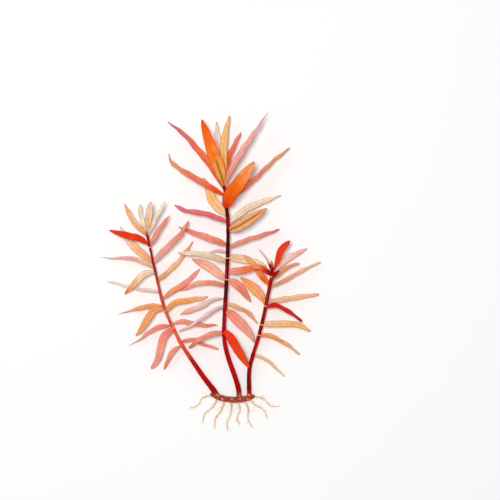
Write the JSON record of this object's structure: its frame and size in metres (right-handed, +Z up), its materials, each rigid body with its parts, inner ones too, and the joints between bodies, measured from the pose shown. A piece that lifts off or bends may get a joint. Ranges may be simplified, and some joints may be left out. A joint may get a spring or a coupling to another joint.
{
  "type": "ammannia gracilis plant",
  "caption": "Red aquarium stem plant with narrow orange, coral and pink leaves, grown from a creeping rooted base, lying flat as picked.",
  "frame": {"origin": "middle of the plant's box, on the surface that it lies on", "axes": "+Y from the roots to the shoot tips, +Z up from the surface, +X to the right as seen from above with the tips away"},
  "size_m": [0.2215, 0.3205, 0.0332],
  "materials": {
    "leaf_orange": "thin leaf, satin, slightly translucent",
    "leaf_flame": "thin leaf, satin, slightly translucent",
    "leaf_coral": "thin leaf, satin, slightly translucent",
    "leaf_rose": "thin leaf, satin, slightly translucent",
    "leaf_blush": "thin leaf, satin, slightly translucent",
    "leaf_peach": "thin leaf, satin, slightly translucent",
    "leaf_amber": "thin leaf, satin, slightly translucent",
    "leaf_scarlet": "thin leaf, satin, slightly translucent",
    "stem": "smooth, slightly waxy",
    "root": "pale, matt"
  },
  "bodies": {
    "root": {"left_stem": "stem", "left_leaf_01": "leaf_coral", "left_leaf_02": "leaf_flame", "left_leaf_03": "leaf_coral", "left_leaf_04": "leaf_peach", "left_leaf_05": "leaf_blush", "left_leaf_06": "leaf_coral", "left_leaf_07": "leaf_orange", "left_leaf_08": "leaf_coral", "left_leaf_09": "leaf_blush", "left_leaf_10": "leaf_coral", "left_leaf_11": "leaf_orange", "left_leaf_12": "leaf_orange", "left_leaf_13": "leaf_amber", "left_leaf_14": "leaf_coral", "left_leaf_15": "leaf_coral", "left_leaf_16": "leaf_coral", "left_leaf_17": "leaf_coral", "left_leaf_18": "leaf_coral", "middle_stem": "stem", "middle_leaf_01": "leaf_rose", "middle_leaf_02": "leaf_orange", "middle_leaf_03": "leaf_coral", "middle_leaf_04": "leaf_coral", "middle_leaf_05": "leaf_orange", "middle_leaf_06": "leaf_coral", "middle_leaf_07": "leaf_peach", "middle_leaf_08": "leaf_rose", "middle_leaf_09": "leaf_amber", "middle_leaf_10": "leaf_peach", "middle_leaf_11": "leaf_rose", "middle_leaf_12": "leaf_rose", "middle_leaf_13": "leaf_blush", "middle_leaf_14": "leaf_peach", "middle_leaf_15": "leaf_peach", "middle_leaf_16": "leaf_coral", "middle_leaf_17": "leaf_coral", "middle_leaf_18": "leaf_coral", "middle_leaf_19": "leaf_coral", "middle_leaf_20": "leaf_coral", "middle_leaf_21": "leaf_blush", "middle_leaf_22": "leaf_amber", "middle_leaf_23": "leaf_coral", "middle_leaf_24": "leaf_coral", "middle_leaf_25": "leaf_flame", "right_stem": "stem", "right_leaf_01": "leaf_flame", "right_leaf_02": "leaf_blush", "right_leaf_03": "leaf_orange", "right_leaf_04": "leaf_coral", "right_leaf_05": "leaf_flame", "right_leaf_06": "leaf_orange", "right_leaf_07": "leaf_amber", "right_leaf_08": "leaf_peach", "right_leaf_09": "leaf_scarlet", "right_leaf_10": "leaf_amber", "right_leaf_11": "leaf_orange", "right_leaf_12": "leaf_peach", "crown": "root"}
  },
  "joints": []
}
